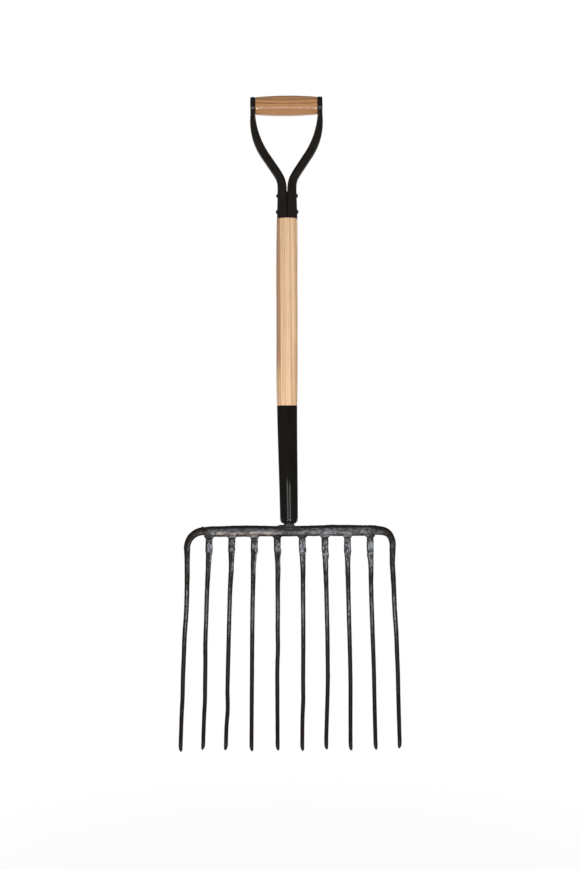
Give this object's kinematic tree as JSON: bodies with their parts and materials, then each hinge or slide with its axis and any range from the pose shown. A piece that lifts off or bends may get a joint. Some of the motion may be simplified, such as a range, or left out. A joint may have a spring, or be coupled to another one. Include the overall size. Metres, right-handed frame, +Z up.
{
  "type": "ensilage fork",
  "caption": "Broad fork for silage: a row of long dished steel tines on a forged bar, a short wooden shaft and a D-shaped steel yoke with a wooden hand grip.",
  "frame": {"origin": "underside of the wooden hand grip at its middle, where the grip sits on a wall peg or hook", "axes": "+Z up the shaft from the tines to the grip, +X along the grip and the fork's bar to the right as seen from the carrying side, -Y the carrying side that the tine points curve towards"},
  "size_m": [0.4003, 0.0509, 1.1759],
  "materials": {
    "shaft_wood": "pale straight-grained ash or oak, clear satin lacquer",
    "grip_wood": "turned hardwood, a shade darker and redder than the shaft, clear satin lacquer",
    "yoke_paint": "pressed sheet steel, satin black paint",
    "ferrule_paint": "steel tube, smooth gloss black paint",
    "forged_paint": "rough forged steel, gloss black paint over hammer and weld marks",
    "rivet_steel": "dome headed steel rivets, satin black paint"
  },
  "bodies": {
    "root": {"handle_shaft": "shaft_wood", "hand_grip": "grip_wood", "grip_rivet": "rivet_steel", "yoke_left": "yoke_paint", "yoke_right": "yoke_paint", "yoke_rivet_upper": "rivet_steel", "yoke_rivet_lower": "rivet_steel", "ferrule": "ferrule_paint", "fork_head": "forged_paint", "tine_01": "forged_paint", "tine_02": "forged_paint", "tine_03": "forged_paint", "tine_04": "forged_paint", "tine_05": "forged_paint", "tine_06": "forged_paint", "tine_07": "forged_paint", "tine_08": "forged_paint", "tine_09": "forged_paint", "tine_10": "forged_paint"}
  },
  "joints": []
}
